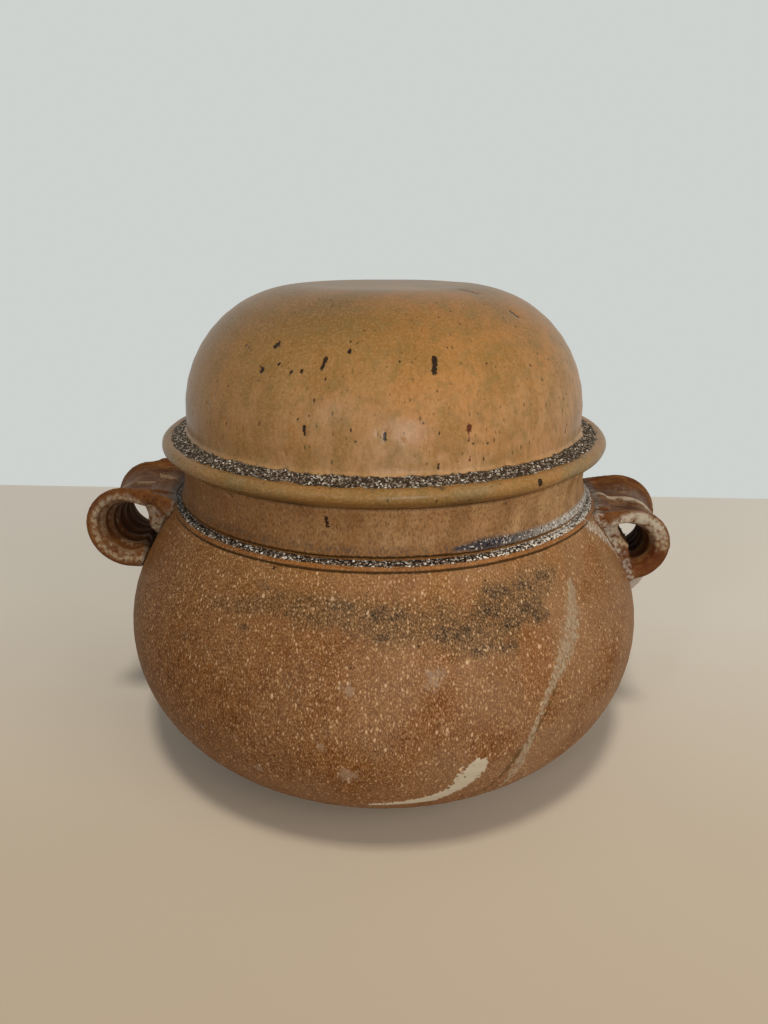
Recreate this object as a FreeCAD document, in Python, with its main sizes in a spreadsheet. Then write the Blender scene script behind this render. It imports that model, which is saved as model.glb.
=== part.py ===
import FreeCAD, Part
import math
import os
import re
import Sketcher

# Stoneware bean pot: a round thrown pot with a short neck, a domed lid that lifts off,
# and two strap handles, cut from a thrown ring and luted to the shoulder with slip.
# Sizes are in millimetres. Z is the axis of the potter's wheel, z = 0 is the table,
# the two handles lie along X, and the side towards -Y is the front.

SIZES = {
    # Pot: foot and belly
    "foot_radius": 66.0,
    "trim_width": 8.8,
    "trim_height": 1.2,
    "floor_wall": 8.0,
    "belly_wall": 6.5,
    "belly_radius": 120.6,
    "belly_height": 59.8,
    # Pot: shoulder, the thrown ring at its top, and the neck
    "shoulder_inset": 23.1,
    "shoulder_rise": 56.4,
    "groove_width": 1.2,
    "groove_depth": 0.5,
    "ring_inset": 4.3,
    "ring_height": 2.5,
    "ring_bulge": 0.9,
    "cove_height": 1.6,
    "cove_depth": 0.5,
    "neck_inset": 3.5,
    "neck_rise": 23.8,
    "neck_hollow": 2.1,
    "neck_wall": 7.9,
    "throat_rise": 7.3,
    "rim_inset": 4.1,
    "rim_round": 1.4,
    # Lid: the flange that hangs in the neck, the brim and the dome
    "lid_play": 1.5,
    "flange_wall": 5.0,
    "flange_depth": 8.0,
    "flange_round": 1.8,
    "brim_overhang": 6.6,
    "brim_slope": 20.0,
    "brim_undercut": 35.0,
    "bead_round": 3.15,
    "bead_lift": 2.6,
    "ledge_rise": 11.0,
    "ledge_round": 1.5,
    "dome_inset": 4.6,
    "dome_rise": 71.3,
    "dome_corner": 53.2,
    "lid_wall": 6.0,
    # Handles: the strap with its two finger grooves and the crest between them
    "strap_width": 42.0,
    "strap_wall": 5.2,
    "crest_radius": 16.2,
    "finger_depth": 1.7,
    "lip_bulge": 1.6,
    # Handles: the foot of the strap, which spreads over the top of the shoulder
    "leg_length": 8.0,
    "leg_spread": 4.0,
    "foot_spread": 78.0,
    "foot_depth": 26.0,
    "foot_lift": 2.0,
    "foot_bury": 15.0,
    "loop_sweep": 205.0,
    "slip_joint": 0.3,
    # Handles: each one's place on the shoulder, the radius of its two lips, and how
    # much higher than the front edge of its foot the rear edge lies
    "right_inset": 7.0,
    "right_drop": 17.0,
    "right_front_lip": 17.4,
    "right_rear_lip": 21.1,
    "right_rear_rise": -7.0,
    "left_inset": 1.8,
    "left_drop": 13.7,
    "left_front_lip": 20.1,
    "left_rear_lip": 20.7,
    "left_rear_rise": 7.0,
}

# Places that follow from the sizes above
SHOULDER_RADIUS = "(belly_radius - shoulder_inset)"
SHOULDER_HEIGHT = "(belly_height + shoulder_rise)"
NECK_BASE = f"({SHOULDER_HEIGHT} + groove_width + ring_height + cove_height)"
RIM_RADIUS = f"({SHOULDER_RADIUS} - rim_inset)"
RIM_HEIGHT = f"({SHOULDER_HEIGHT} + neck_rise)"
NECK_BORE = f"({RIM_RADIUS} - neck_wall)"
BELLY_REACH = "(belly_radius - foot_radius - trim_width)"
BELLY_DROP = "(belly_height - trim_height)"
BELLY_CURVE = f"(({BELLY_REACH}^2 + {BELLY_DROP}^2) / (2 * {BELLY_REACH}))"
BELLY_CENTRE = f"(belly_radius - {BELLY_CURVE})"

doc = FreeCAD.newDocument("bean_pot")
sheet = doc.addObject("Spreadsheet::Sheet", "Sizes")
for row, (alias, size) in enumerate(SIZES.items(), start=1):
    sheet.set(f"A{row}", alias)
    sheet.set(f"B{row}", str(size))
    sheet.setAlias(f"B{row}", alias)
doc.recompute()


def formula(words):
    """Turns each size name in a formula into its cell of the sheet."""
    return re.sub(r"\b([a-z]+_[a-z_]+)\b", r"Sizes.\1", words)


def number(words):
    return float(sheet.evalExpression(formula(words)))


def vector(across, up):
    return FreeCAD.Vector(number(across), number(up), 0)


class Outline:
    """A chain of lines and arcs in a sketch. Every corner and radius is a formula.

    A chain that comes back to the formulas of its first corner is closed there.
    """

    def __init__(self, sketch, across, up, shift=None):
        self.sketch = sketch
        self.shift = shift
        self.first = self.corner = self.moved(across, up)
        self.head = None
        self.tail = None

    def moved(self, across, up):
        if self.shift and across != "0":
            across = f"({across} + {self.shift})"
        return across, up

    def bound(self, kind, *where, words):
        index = self.sketch.addConstraint(Sketcher.Constraint(kind, *where, number(words)))
        self.sketch.setExpression(f"Constraints[{index}]", formula(words))

    def tie(self, one, other):
        self.sketch.addConstraint(Sketcher.Constraint("Coincident", *one, *other))

    def place(self, edge, end, across, up):
        """Fixes a point. A coordinate of 0 puts it on the sketch's axis."""
        for kind, words, axis in (("DistanceX", across, -2), ("DistanceY", up, -1)):
            if words == "0":
                on_axis = Sketcher.Constraint("PointOnObject", edge, end, axis)
                self.sketch.addConstraint(on_axis)
            else:
                self.bound(kind, -1, 1, edge, end, words=words)

    def begin(self, edge, start):
        if self.head is None:
            self.head = (edge, start)
            self.place(edge, start, *self.corner)
        else:
            self.tie(self.tail, (edge, start))

    def end(self, edge, end, corner):
        if corner == self.first:
            self.tie((edge, end), self.head)
        else:
            self.place(edge, end, *corner)
        self.tail = (edge, end)
        self.corner = corner

    def line(self, across, up):
        corner = self.moved(across, up)
        shape = Part.LineSegment(vector(*self.corner), vector(*corner))
        edge = self.sketch.addGeometry(shape)
        self.begin(edge, 1)
        self.end(edge, 2, corner)

    def arc(self, across, up, radius, turn="left"):
        """An arc to the next corner, along which the chain turns left or right."""
        corner = self.moved(across, up)
        begin, end = vector(*self.corner), vector(*corner)
        half = (end - begin) / 2
        reach = math.sqrt(number(radius) ** 2 - half.Length ** 2)
        side = FreeCAD.Vector(-half.y, half.x, 0).normalize() * reach
        centre = begin + half + (side if turn == "left" else -side)
        circle = Part.Circle(centre, FreeCAD.Vector(0, 0, 1), number(radius))
        angles = [math.atan2(p.y - centre.y, p.x - centre.x) for p in (begin, end)]
        ends = (1, 2)
        if turn == "right":
            angles.reverse()
            ends = (2, 1)
        edge = self.sketch.addGeometry(Part.ArcOfCircle(circle, *angles))
        self.begin(edge, ends[0])
        self.end(edge, ends[1], corner)
        self.bound("Radius", edge, words=radius)

    def bow(self, across, up, height, turn="left"):
        """An arc that rises by the given height above the straight line to its end."""
        corner = self.moved(across, up)
        wide, high = (f"({b} - {a})" for a, b in zip(self.corner, corner))
        radius = f"(({wide}^2 + {high}^2) / (8 * ({height})) + ({height}) / 2)"
        self.arc(across, up, radius, turn)

    def belly(self, wall, across, up):
        """The belly's arc, one wall in, and the straight shoulder that it runs into."""
        middle = self.moved(BELLY_CENTRE, "belly_height")
        corner = self.moved(across, up)
        radius = f"({BELLY_CURVE} - {wall})"
        centre, end = vector(*middle), vector(*corner)
        away = end - centre
        lean = math.atan2(away.y, away.x) - math.acos(number(radius) / away.Length)
        low = vector(*self.corner) - centre
        circle = Part.Circle(centre, FreeCAD.Vector(0, 0, 1), number(radius))
        curve = Part.ArcOfCircle(circle, math.atan2(low.y, low.x), lean)
        edge = self.sketch.addGeometry(curve)
        self.begin(edge, 1)
        self.place(edge, 3, *middle)
        shoulder = self.sketch.addGeometry(Part.LineSegment(curve.EndPoint, end))
        smooth = Sketcher.Constraint("Tangent", edge, 2, shoulder, 1)
        self.sketch.addConstraint(smooth)
        self.end(shoulder, 2, corner)

    def bridge(self, one, other):
        """A straight line between two points that are already drawn."""
        ends = [self.sketch.getPoint(*point) for point in (one, other)]
        edge = self.sketch.addGeometry(Part.LineSegment(*ends))
        self.tie(one, (edge, 1))
        self.tie(other, (edge, 2))


def origin_plane(body, role):
    return next(part for part in body.Origin.OriginFeatures if part.Role == role)


def new_sketch(body, name, role, along=None, up=None):
    sketch = body.newObject("Sketcher::SketchObject", name)
    sketch.AttachmentSupport = [(origin_plane(body, role), "")]
    sketch.MapMode = "FlatFace"
    if along:
        sketch.setExpression("AttachmentOffset.Base.z", formula(along))
    if up:
        sketch.setExpression("AttachmentOffset.Base.y", formula(up))
    return sketch


def turned_solid(body, sketch, kind="PartDesign::Revolution"):
    """Turns a half profile once round the axis of the wheel."""
    feature = body.newObject(kind, f"{sketch.Name}_turned")
    feature.Profile = sketch
    feature.ReferenceAxis = (sketch, ["V_Axis"])
    feature.Angle = 360.0
    return feature


def outer_wall(outline):
    """The outside of the pot, from the edge of the foot up to the rim."""
    outline.line("foot_radius", "0")
    outline.line("foot_radius + trim_width", "trim_height")
    outline.belly("0", SHOULDER_RADIUS, SHOULDER_HEIGHT)
    # a fine groove, the rounded ring above it and the cove under the neck
    ring_foot = f"{SHOULDER_HEIGHT} + groove_width"
    outline.bow(SHOULDER_RADIUS, ring_foot, "groove_depth", "right")
    outline.bow(f"{SHOULDER_RADIUS} - ring_inset", f"{ring_foot} + ring_height",
                "ring_bulge")
    outline.bow(f"{SHOULDER_RADIUS} - neck_inset", NECK_BASE, "cove_depth", "right")
    outline.bow(RIM_RADIUS, f"{RIM_HEIGHT} - rim_round", "neck_hollow", "right")


def pot_body():
    body = doc.addObject("PartDesign::Body", "pot_body")
    sketch = new_sketch(body, "pot_profile", "XZ_Plane")
    outside = Outline(sketch, "0", "0")
    outer_wall(outside)
    outside.arc(f"{RIM_RADIUS} - rim_round", RIM_HEIGHT, "rim_round")
    outside.line(f"{NECK_BORE} + rim_round", RIM_HEIGHT)
    outside.arc(NECK_BORE, f"{RIM_HEIGHT} - rim_round", "rim_round")

    hollow = f"({BELLY_CURVE} - belly_wall)"
    corner = f"{BELLY_CENTRE} + sqrt({hollow}^2 - (belly_height - floor_wall)^2)"
    inside = Outline(sketch, "0", "floor_wall")
    inside.line(corner, "floor_wall")
    inside.belly("belly_wall", NECK_BORE, f"{SHOULDER_HEIGHT} + throat_rise")
    inside.bridge(inside.tail, outside.tail)
    inside.bridge(inside.head, outside.head)
    turned_solid(body, sketch)
    return body


def lid():
    body = doc.addObject("PartDesign::Body", "lid")
    sketch = new_sketch(body, "lid_profile", "XZ_Plane")
    flange = f"({NECK_BORE} - lid_play)"
    inner = f"({flange} - flange_wall)"
    tip = f"({RIM_HEIGHT} - flange_depth)"
    bead = f"({RIM_RADIUS} + brim_overhang - bead_round)"
    bead_middle = f"({RIM_HEIGHT} + bead_lift + bead_round)"
    dome = f"({RIM_RADIUS} - dome_inset)"
    ledge = f"({RIM_HEIGHT} + ledge_rise)"
    crown = f"({RIM_HEIGHT} + dome_rise)"

    outline = Outline(sketch, inner, f"{tip} + flange_round")
    outline.arc(f"{inner} + flange_round", tip, "flange_round")
    outline.line(f"{flange} - flange_round", tip)
    outline.arc(flange, f"{tip} + flange_round", "flange_round")
    outline.line(flange, RIM_HEIGHT)
    # the seat on the rim, then the brim with its rolled edge
    outline.line(RIM_RADIUS, RIM_HEIGHT)
    outline.line(f"{bead} + bead_round * sin(brim_undercut * 1deg)",
                 f"{bead_middle} - bead_round * cos(brim_undercut * 1deg)")
    outline.arc(f"{bead} - bead_round * sin(brim_slope * 1deg)",
                f"{bead_middle} + bead_round * cos(brim_slope * 1deg)",
                "bead_round")
    # the ledge where the brim turns up into the dome
    outline.line(f"{dome} + ledge_round", ledge)
    outline.arc(dome, f"{ledge} + ledge_round", "ledge_round", "right")
    outline.line(dome, f"{crown} - dome_corner")
    outline.arc(f"{dome} - dome_corner", crown, "dome_corner")
    outline.line("0", crown)
    # back down the inside
    outline.line("0", f"{crown} - lid_wall")
    outline.line(f"{dome} - dome_corner", f"{crown} - lid_wall")
    outline.arc(f"{dome} - lid_wall", f"{crown} - dome_corner",
                "dome_corner - lid_wall", "right")
    outline.line(f"{dome} - lid_wall", ledge)
    outline.line(inner, RIM_HEIGHT)
    outline.line(inner, f"{tip} + flange_round")
    turned_solid(body, sketch)
    return body


def strap_section(body, name, along, up, width, lips, crest, wall):
    """The wavy section of the strap: two finger grooves with a crest between them."""
    sketch = new_sketch(body, name, "YZ_Plane", along, up)
    near, far = lips
    left, right = f"-({width}) / 2", f"({width}) / 2"
    outline = Outline(sketch, left, near)
    outline.bow("0", crest, "finger_depth")
    outline.bow(right, far, "finger_depth")
    outline.bow(right, f"{far} - {wall}", "lip_bulge", "right")
    outline.bow("0", f"{crest} - {wall}", "finger_depth", "right")
    outline.bow(left, f"{near} - {wall}", "finger_depth", "right")
    outline.bow(left, near, "lip_bulge", "right")
    return sketch


def handle(name, side, lips, rises, turn):
    """One strap handle, modelled on the +X side and then turned to its place.

    The lips are the radii of the loop's two edges, the one at -Y first, and the rises
    say how far the same two edges lie above the top of the foot.
    """
    body = doc.addObject("PartDesign::Body", name)
    along = f"(belly_radius - {side}_inset)"
    up = f"({SHOULDER_HEIGHT} - {side}_drop)"
    sizes = ("strap_width", lips, "crest_radius", "strap_wall")

    start = strap_section(body, f"{name}_ring", along, up, *sizes)
    loop = body.newObject("PartDesign::Revolution", f"{name}_loop")
    loop.Profile = start
    loop.ReferenceAxis = (start, ["H_Axis"])
    loop.setExpression("Angle", formula("loop_sweep"))
    doc.recompute()

    # the leg of the strap runs back to the neck and spreads into a wide foot, and a
    # quarter of the rise of its edges comes in its first part
    foot_top = f"({side}_drop + foot_lift)"
    edges = [f"({foot_top} + {rise})" for rise in rises]
    lower = [f"({lip} + {rise} / 4)" for lip, rise in zip(lips, rises)]
    begin = strap_section(body, f"{name}_leg", along, up, *sizes)
    middle = strap_section(body, f"{name}_middle", f"{along} - leg_length", up,
                           "(strap_width + leg_spread)", lower, *sizes[2:])
    foot = strap_section(body, f"{name}_foot", f"{SHOULDER_RADIUS} - foot_bury", up,
                         "foot_spread", edges,
                         f"({foot_top} - finger_depth)", "foot_depth")
    leg = body.newObject("PartDesign::AdditiveLoft", f"{name}_spread")
    leg.Profile = begin
    leg.Sections = [middle, foot]
    doc.recompute()

    # the clay is cut to the curve of the shoulder, less the slip that joins them
    cutter = new_sketch(body, f"{name}_seat", "XZ_Plane")
    wall = Outline(cutter, "0", "0", shift="slip_joint")
    outer_wall(wall)
    wall.line("0", RIM_HEIGHT)
    wall.line("0", "0")
    turned_solid(body, cutter, "PartDesign::Groove")
    body.Placement = FreeCAD.Placement(
        FreeCAD.Vector(), FreeCAD.Rotation(FreeCAD.Vector(0, 0, 1), turn))
    return body


pieces = [
    pot_body(),
    lid(),
    handle("handle_right", "right", ("right_front_lip", "right_rear_lip"),
           ("0", "right_rear_rise"), 0),
    # turned half round, so that its rear lip comes first in its own section
    handle("handle_left", "left", ("left_rear_lip", "left_front_lip"),
           ("left_rear_rise", "0"), 180),
]
doc.recompute()

for thing in doc.Objects:
    if "Invalid" in thing.State or "Error" in thing.State:
        raise RuntimeError(f"{thing.Name} failed: {thing.State}")
os.makedirs("parts", exist_ok=True)
for piece in pieces:
    if piece.Shape.isNull() or not piece.Shape.isValid():
        raise RuntimeError(f"{piece.Label} has no valid shape")
    if len(piece.Shape.Solids) != 1:
        raise RuntimeError(f"{piece.Label} is not one solid")
    piece.Shape.exportStep(f"parts/{piece.Label}.step")
    box = piece.Shape.BoundBox
    print(f"{piece.Label}: {piece.Shape.Volume / 1000:.1f} cm3,"
          f" {box.XLength:.1f} x {box.YLength:.1f} x {box.ZLength:.1f} mm")
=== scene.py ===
# %% [markdown]
# # A wood-fired stoneware bean pot
#
# A round pot thrown on a wheel, with a domed lid that lifts off and two strap handles
# stuck to its shoulder with slip. This lesson dresses the measured solids of the frame:
# each piece is modelled again as clay, in the same place, and then glazed with nodes.

# %% Load the frame
import math
from types import SimpleNamespace

import bmesh
import bpy
from mathutils import Matrix, Vector, noise
from mathutils.bvhtree import BVHTree


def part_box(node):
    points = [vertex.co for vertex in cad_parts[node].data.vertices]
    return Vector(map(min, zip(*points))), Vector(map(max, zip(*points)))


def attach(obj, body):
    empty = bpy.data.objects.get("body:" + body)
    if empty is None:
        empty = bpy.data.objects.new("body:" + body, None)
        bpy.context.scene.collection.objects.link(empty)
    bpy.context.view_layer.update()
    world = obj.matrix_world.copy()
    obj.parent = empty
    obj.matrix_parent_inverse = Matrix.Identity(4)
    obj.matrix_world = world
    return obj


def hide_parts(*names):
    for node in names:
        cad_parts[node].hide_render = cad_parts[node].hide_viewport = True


MM = 0.001
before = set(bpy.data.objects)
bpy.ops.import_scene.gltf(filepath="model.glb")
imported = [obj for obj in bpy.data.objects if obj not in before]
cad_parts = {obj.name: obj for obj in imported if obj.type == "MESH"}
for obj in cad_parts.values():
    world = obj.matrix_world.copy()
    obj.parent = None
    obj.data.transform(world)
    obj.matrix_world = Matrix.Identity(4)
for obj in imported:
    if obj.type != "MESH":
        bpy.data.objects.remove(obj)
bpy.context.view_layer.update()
bpy.context.scene.view_settings.view_transform = "Standard"

# %% [markdown]
# ## The camera
#
# The picture was taken from just above the pot, close by, with the wide lens of a
# phone. Such a lens at arm's length makes the belly swell towards the viewer, so the
# distance matters more than the zoom. The handles don't lie quite square to the viewer,
# which puts the camera a few degrees round towards the right-hand handle.

# %% Camera
CAMERA_DISTANCE = 349.75 * MM
CAMERA_HEIGHT = 232 * MM
CAMERA_TURN = math.radians(3.3)
CAMERA_PITCH = math.radians(19.93)
SENSOR = 36.0
FOCAL_SHARE = 769 / 1024

camera_data = bpy.data.cameras.new("camera")
camera_data.sensor_width = SENSOR
camera_data.lens = SENSOR * FOCAL_SHARE
camera = bpy.data.objects.new("camera", camera_data)
bpy.context.scene.collection.objects.link(camera)
camera.location = (CAMERA_DISTANCE * math.sin(CAMERA_TURN),
                   -CAMERA_DISTANCE * math.cos(CAMERA_TURN),
                   CAMERA_HEIGHT)
camera.rotation_euler = (math.pi / 2 - CAMERA_PITCH, 0, CAMERA_TURN)
bpy.context.scene.camera = camera
print("the lens is", round(camera_data.lens, 1), "mm")

# %% [markdown]
# ## Drawing a profile as a potter's template
#
# Everything turned on a wheel is one half profile swept round. The profile could be
# typed in as a long list of points, but its stretches are straight lines and arcs, so
# a small class draws those: a line extrudes the last vertex in even steps, and an arc
# spins it about the centre of the arc. The steps are short where the shape is small.

# %% Template
SEGMENTS = 384
SEAM_GAP = 0.005 * MM


class Template:
    """A half profile in the XZ plane. It keeps a bmesh and the last vertex drawn."""

    def __init__(self, radius, height):
        self.bm = bmesh.new()
        self.tip = self.bm.verts.new((radius, 0, height))

    def line(self, radius, height, step):
        start, end = self.tip.co.copy(), Vector((radius, 0, height))
        count = max(1, round((end - start).length / step))
        for _ in range(count):
            made = bmesh.ops.extrude_vert_indiv(self.bm, verts=[self.tip])
            self.tip = made["verts"][0]
            bmesh.ops.translate(self.bm, verts=[self.tip], vec=(end - start) / count)

    def arc(self, radius, height, curve, step, turn=1):
        """An arc of radius `curve` to the next corner, turning left (1) or right (-1)."""
        start, end = self.tip.co.copy(), Vector((radius, 0, height))
        half = (end - start) / 2
        aside = Vector((-half.z, 0, half.x)).normalized()
        centre = start + half + aside * turn * math.sqrt(curve ** 2 - half.length_squared)
        sweep = 2 * math.asin(half.length / curve)
        made = bmesh.ops.spin(
            self.bm, geom=[self.tip], cent=centre, axis=(0, -1, 0), angle=sweep * turn,
            steps=max(2, round(sweep * curve / step)), dvec=(0, 0, 0))
        self.tip = next(e for e in made["geom_last"] if isinstance(e, bmesh.types.BMVert))

    def bow(self, radius, height, rise, step, turn=1):
        """An arc given by its rise above the straight line to its end."""
        half = (Vector((radius, 0, height)) - self.tip.co).length / 2
        self.arc(radius, height, (half ** 2 + rise ** 2) / (2 * rise), step, turn)

    def lift_to(self, radius, height):
        """Starts another stretch of the same section, with a gap before it."""
        self.tip = self.bm.verts.new((radius, 0, height))

    def turned(self):
        """Sweeps the profile once round and closes the seam and the two poles."""
        bmesh.ops.spin(
            self.bm, geom=self.bm.verts[:] + self.bm.edges[:], cent=(0, 0, 0),
            axis=(0, 0, 1), angle=math.tau, steps=SEGMENTS, dvec=(0, 0, 0), use_merge=True)
        bmesh.ops.remove_doubles(self.bm, verts=self.bm.verts, dist=SEAM_GAP)
        bmesh.ops.recalc_face_normals(self.bm, faces=self.bm.faces)
        return self.bm


def finished(bm, name, body):
    """Makes an object of a bmesh, smooth shaded, that rides on a body of the frame."""
    mesh = bpy.data.meshes.new(name)
    bm.to_mesh(mesh)
    bm.free()
    mesh.polygons.foreach_set("use_smooth", [True] * len(mesh.polygons))
    piece = bpy.data.objects.new(name, mesh)
    bpy.context.scene.collection.objects.link(piece)
    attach(piece, body)
    mesh.calc_loop_triangles()
    print(name, "has", len(mesh.loop_triangles), "triangles")
    return piece


# %% [markdown]
# ## Clay that was touched
#
# Thrown clay has faint rings from the fingers, is a few tenths of a millimetre out of
# round, and carries crusts where wood ash settled and melted. All of that is moved into
# the mesh along its normals, and only inwards, so that the pot stays within its measured
# size. Where ash lies, each face is first cut into nine, so that its grains have room.

# %% Hand and kiln
FAR = 1  # metres, past every point of the pot: the open end of a band with one edge
OUTSIDE = 200 * MM
ASH_FROM = 35  # degrees round from the front to the side that the fly ash came from


def wheel_rings(point, pitch, depth):
    """Soft finger rings that climb a little as they go round, as a spiral does."""
    round_share = math.atan2(point.x, -point.y) / math.tau
    wander = noise.noise(point * 18) * 1.4
    return depth * math.sin(math.tau * (point.z / pitch + round_share + wander))


def grains(point, size):
    """Crusty ash: rounded grains of about the given size, from 0 in gaps to 1 on top."""
    nearest = noise.voronoi(point / size)[0]
    return max(0.0, 1 - (nearest[0] / 0.75) ** 2)


def band(value, low, high, soft):
    """1 between low and high, fading to 0 over the soft distance outside."""
    return max(0.0, min(1.0, (value - low) / soft + 1, (high - value) / soft + 1))


def turn_of(point):
    """Degrees round the pot from the front, positive towards the right-hand handle."""
    return math.degrees(math.atan2(point.x, -point.y))


def facing_ash(point):
    """1 on the side that the fly ash came from, falling to 0 on the opposite side."""
    return 0.5 + 0.5 * math.cos(math.radians(turn_of(point) - ASH_FROM))


def trail(point, stops):
    """How well a point lies on a trail of (turn, height, half width) stops: 1 on it."""
    best = 0.0
    for (turn_a, height_a, wide_a), (turn_b, height_b, wide_b) in zip(stops, stops[1:]):
        to_mm = math.radians(point.xy.length / MM)
        way = Vector(((turn_b - turn_a) * to_mm, height_b - height_a))
        here = Vector(((turn_of(point) - turn_a) * to_mm, point.z / MM - height_a))
        share = max(0.0, min(1.0, here.dot(way) / way.length_squared))
        wide = wide_a + (wide_b - wide_a) * share
        best = max(best, 1.5 - (here - way * share).length / wide)
    return min(1.0, best)


def on_skin(tree, turn, height):
    """The point of the outside at a turn from the front and a height in millimetres."""
    out = Vector((math.sin(math.radians(turn)), -math.cos(math.radians(turn)), 0))
    return tree.ray_cast(out * OUTSIDE + Vector((0, 0, height * MM)), -out)[0]


def near_dashes(tree, dashes):
    """A mask of (turn, height, turn, height, half width in mm) dashes. It falls evenly
    from 1 along the middle of a dash, through 2/3 on its edge, to 0."""
    ends = [(on_skin(tree, turn_a, height_a), on_skin(tree, turn_b, height_b), wide * MM)
            for turn_a, height_a, turn_b, height_b, wide in dashes]

    def amount(point):
        best = 0.0
        for start, end, wide in ends:
            here, way = point - start, end - start
            if here.length_squared > (3 * wide + way.length) ** 2:
                continue
            share = max(0.0, min(1.0, here.dot(way) / max(way.length_squared, 1e-12)))
            best = max(best, 1 - (here - way * share).length / (3 * wide))
        return best
    return amount


def cut_finer(bm, wanted):
    """Cuts each face whose centre is wanted into nine."""
    edges = {edge for face in bm.faces if wanted(face.calc_center_median())
             for edge in face.edges}
    bmesh.ops.subdivide_edges(bm, edges=list(edges), cuts=2, use_grid_fill=True)


def move_all(moves):
    """Makes the moves once all are known, so that none of them sees another."""
    for vert, move in moves:
        vert.co += move


def press(bm, depth_at):
    """Moves each vertex along its normal by depth_at(point), but never outwards."""
    bm.normal_update()
    move_all([(vert, vert.normal * min(0.0, depth_at(vert.co))) for vert in bm.verts])


def paint(bm, masks):
    """Keeps the amount of each mask on each vertex, for a glaze to read as an attribute."""
    for name, amount_at in masks.items():
        layer = bm.verts.layers.float.new(name)
        for vert in bm.verts:
            vert[layer] = amount_at(vert.co)


# %% [markdown]
# ## The pot
#
# The belly is part of a ball that stands on a small trimmed foot. A straight shoulder
# leaves it at a tangent and ends in a fine groove, a rounded ring and a small cove under
# the neck. The sizes that the frame knows are read from it, and the rest are measured
# on the object.

# %% Pot
pot_low, pot_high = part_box("pot_body")
BELLY_RADIUS = pot_high.y
RIM_HEIGHT = pot_high.z
BELLY_HEIGHT = 59.8 * MM
BELLY_CURVE = 60.4 * MM
BELLY_CENTRE = BELLY_RADIUS - BELLY_CURVE
FOOT_RADIUS = 66 * MM
TRIM_EDGE = (74.8 * MM, 1.2 * MM)
FLOOR = 8 * MM
WALL = 6.5 * MM
SHOULDER = (97.5 * MM, 116.2 * MM)
RING_FOOT = (97.5 * MM, 117.4 * MM)
RING_TOP = (93.2 * MM, 119.9 * MM)
NECK_BASE = (94.0 * MM, 121.5 * MM)
RIM_RADIUS = 93.4 * MM
NECK_BORE = 85.5 * MM
THROAT = 123.5 * MM
RIM_ROUND = 1.4 * MM


def tangent_point(curve, point):
    """Where a line to a point leaves the belly's arc, drawn with the given radius."""
    away = Vector(point) - Vector((BELLY_CENTRE, BELLY_HEIGHT))
    angle = math.atan2(away.y, away.x) - math.acos(curve / away.length)
    return (BELLY_CENTRE + curve * math.cos(angle), BELLY_HEIGHT + curve * math.sin(angle))


template = Template(0, pot_low.z)
template.line(FOOT_RADIUS, pot_low.z, 8 * MM)
template.line(*TRIM_EDGE, 3 * MM)
# the belly goes past its widest point in two arcs, so that each is under a half turn
template.arc(BELLY_RADIUS, BELLY_HEIGHT, BELLY_CURVE, 2 * MM)
template.arc(*tangent_point(BELLY_CURVE, SHOULDER), BELLY_CURVE, 2 * MM)
template.line(*SHOULDER, 1.8 * MM)
template.bow(*RING_FOOT, 0.5 * MM, 0.3 * MM, turn=-1)
template.bow(*RING_TOP, 0.9 * MM, 0.8 * MM)
template.bow(*NECK_BASE, 0.5 * MM, 0.4 * MM, turn=-1)
template.bow(RIM_RADIUS, RIM_HEIGHT - RIM_ROUND, 2.1 * MM, 1.1 * MM, turn=-1)
template.arc(RIM_RADIUS - RIM_ROUND, RIM_HEIGHT, RIM_ROUND, 0.5 * MM)
template.line(NECK_BORE + RIM_ROUND, RIM_HEIGHT, 2.5 * MM)
template.arc(NECK_BORE, RIM_HEIGHT - RIM_ROUND, RIM_ROUND, 0.5 * MM)
# back down the inside
INSIDE_CURVE = BELLY_CURVE - WALL
template.line(NECK_BORE, THROAT, 4 * MM)
template.line(*tangent_point(INSIDE_CURVE, (NECK_BORE, THROAT)), 4 * MM)
template.arc(BELLY_CENTRE + INSIDE_CURVE, BELLY_HEIGHT, INSIDE_CURVE, 5 * MM, turn=-1)
FLOOR_RADIUS = BELLY_CENTRE + math.sqrt(INSIDE_CURVE ** 2 - (BELLY_HEIGHT - FLOOR) ** 2)
template.arc(FLOOR_RADIUS, FLOOR, INSIDE_CURVE, 5 * MM, turn=-1)
template.line(0, FLOOR, 8 * MM)

pot = template.turned()

# %% [markdown]
# ## What the kiln left on the pot
#
# Wood ash settled on the ring and in the corner of the neck, and melted to a black and
# white crust that turns to a glassy pool towards the right. A pale run of melted ash
# went down the belly, cream slip shows low on the front, and the smoke left a band of
# soot on the shoulder. Each of these has a place by its turn from the front in degrees
# and its height in millimetres. The same masks raise the clay here and colour the glaze
# later, so relief and colour agree.

# %% Marks on the pot
NECK_FOOT = 118 * MM
ASH_LINE = (118.95 * MM, 119.85 * MM)
# trails: (turn, height, half width in mm) at each stop
POOL = [(20, 123.0, 0.7), (27, 123.3, 2.0), (34, 123.2, 1.5), (45, 123.0, 1.4),
        (58, 122.8, 1.5), (74, 122.6, 1.4), (92, 122.4, 0.7)]
POOL_HAZE = [(-50, 124.0, 0.8), (-25, 123.6, 1.2), (5, 123.4, 1.4), (20, 123.0, 1.2)]
PALE_RUN = [(48, 104, 1.0), (47, 100, 2.4), (45, 94, 3.8), (42, 87, 4.0), (38.5, 80, 3.0),
            (34.5, 71, 1.6), (32, 62, 1.0), (30.5, 51, 1.8), (29.5, 42, 2.6), (29, 30, 1.4),
            (28, 22, 0.8)]
RUN_EDGE = [(36.5, 72, 0.5), (33, 60, 0.7), (28.5, 47, 0.9), (26.5, 36, 0.9), (24, 25, 0.6)]
CREAM_SLIP = [(20.4, 46, 4.0), (19.4, 42.5, 4.8), (18, 37, 4.0), (16, 32, 2.4),
              (13.2, 28.5, 2.8), (9, 26.5, 2.0), (5, 25, 1.3), (0.6, 24, 1.1)]
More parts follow.
